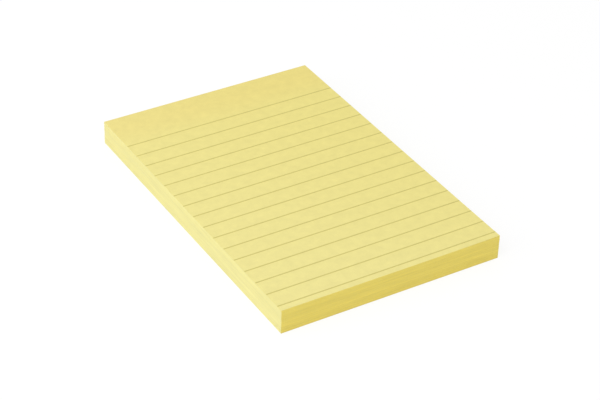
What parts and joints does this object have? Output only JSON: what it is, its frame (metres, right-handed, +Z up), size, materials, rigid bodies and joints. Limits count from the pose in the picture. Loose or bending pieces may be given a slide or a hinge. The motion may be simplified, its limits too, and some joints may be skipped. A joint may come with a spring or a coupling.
{
  "type": "sticky note pad",
  "caption": "Rectangular pad of ruled yellow sticky notes, adhesive along one short edge of each sheet, with a blank header and a plain backing sheet.",
  "frame": {"origin": "middle of the underside, on the surface that the pad lies on", "axes": "+X across the pad along the ruled lines, +Y along its length towards the glued header edge, +Z up through the stack of sheets"},
  "size_m": [0.1016, 0.1524, 0.0109],
  "materials": {
    "note_paper": "uncoated canary yellow writing paper, matte",
    "ruling_ink": "thin grey ink that lets the yellow paper through, matte",
    "adhesive": "clear low-tack adhesive coat, slightly cloudy",
    "backing_paper": "plain pale cream release paper, smooth and matte"
  },
  "bodies": {
    "root": {"note_sheets": "note_paper", "ruled_lines": "ruling_ink", "adhesive_strip": "adhesive", "backing_sheet": "backing_paper"}
  },
  "joints": []
}
